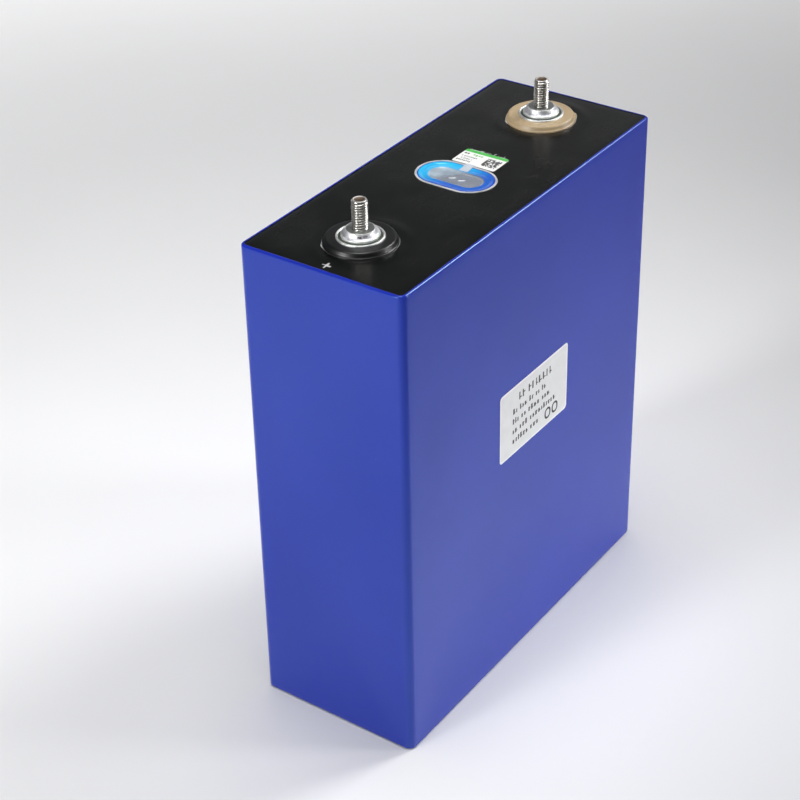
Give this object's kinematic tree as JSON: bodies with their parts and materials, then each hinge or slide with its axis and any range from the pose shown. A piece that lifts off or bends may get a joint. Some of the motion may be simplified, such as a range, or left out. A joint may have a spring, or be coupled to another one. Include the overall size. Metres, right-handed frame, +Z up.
{
  "type": "prismatic battery cell",
  "caption": "Large flat prismatic battery cell in a glossy film, with a threaded stud on each terminal ring, a filmed vent on the lid and paper labels.",
  "frame": {"origin": "centre of the bottom face, on the surface that the cell stands on", "axes": "+X from the positive to the negative terminal, +Y through the thickness towards the plain wide face, +Z up along the studs"},
  "size_m": [0.1738, 0.0717, 0.2218],
  "materials": {
    "wrap_film": "deep ultramarine PET film, glossy",
    "lid_film": "black PET film, satin",
    "vent_film": "blue see-through film",
    "clear_film": "milky insulating film",
    "can_metal": "drawn, satin",
    "lid_metal": "stamped, satin",
    "vent_metal": "thin rolled sheet",
    "terminal_metal": "machined and laser-welded",
    "stud_metal": "stainless, rolled thread",
    "copper": "copper, bright",
    "positive_plastic": "black moulded plastic, satin",
    "negative_plastic": "beige moulded plastic, satin",
    "seal_rubber": "fluororubber",
    "inner_plastic": "natural polypropylene",
    "anode": "graphite-coated copper foil",
    "cathode": "phosphate-coated aluminium foil",
    "separator": "microporous film",
    "tape": "green polyester tape",
    "amber_tape": "polyimide tape",
    "rating_paper": null,
    "trace_paper": null,
    "pull_tab": "pale film tab"
  },
  "bodies": {
    "root": {"wrap_film": "wrap_film", "bottom_film": "clear_film", "lid_film": "lid_film", "can": "can_metal", "lid_plate": "lid_metal", "fill_plug": "seal_rubber", "fill_cap": "terminal_metal", "vent_disc": "vent_metal", "vent_film": "vent_film", "vent_film_tab": "pull_tab", "vent_guard": "inner_plastic", "rating_label": "rating_paper", "trace_label": "trace_paper", "positive_insulator": "positive_plastic", "negative_insulator": "negative_plastic", "positive_seal": "seal_rubber", "negative_seal": "seal_rubber", "positive_pole": "terminal_metal", "negative_pole": "terminal_metal", "negative_pole_core": "copper", "positive_stud_base": "terminal_metal", "negative_stud_base": "terminal_metal", "positive_stud": "stud_metal", "negative_stud": "stud_metal", "positive_lower_insulator": "inner_plastic", "negative_lower_insulator": "inner_plastic", "positive_collector": "terminal_metal", "negative_collector": "copper", "positive_tab_tape": "amber_tape", "negative_tab_tape": "amber_tape", "insulation_sleeve": "clear_film", "bottom_support": "inner_plastic", "roll_a_anode": "anode", "roll_a_cathode": "cathode", "roll_a_separators": "separator", "roll_a_tape": "tape", "roll_a_positive_tab": "terminal_metal", "roll_a_negative_tab": "copper", "roll_b_anode": "anode", "roll_b_cathode": "cathode", "roll_b_separators": "separator", "roll_b_tape": "tape", "roll_b_positive_tab": "terminal_metal", "roll_b_negative_tab": "copper"}
  },
  "joints": []
}
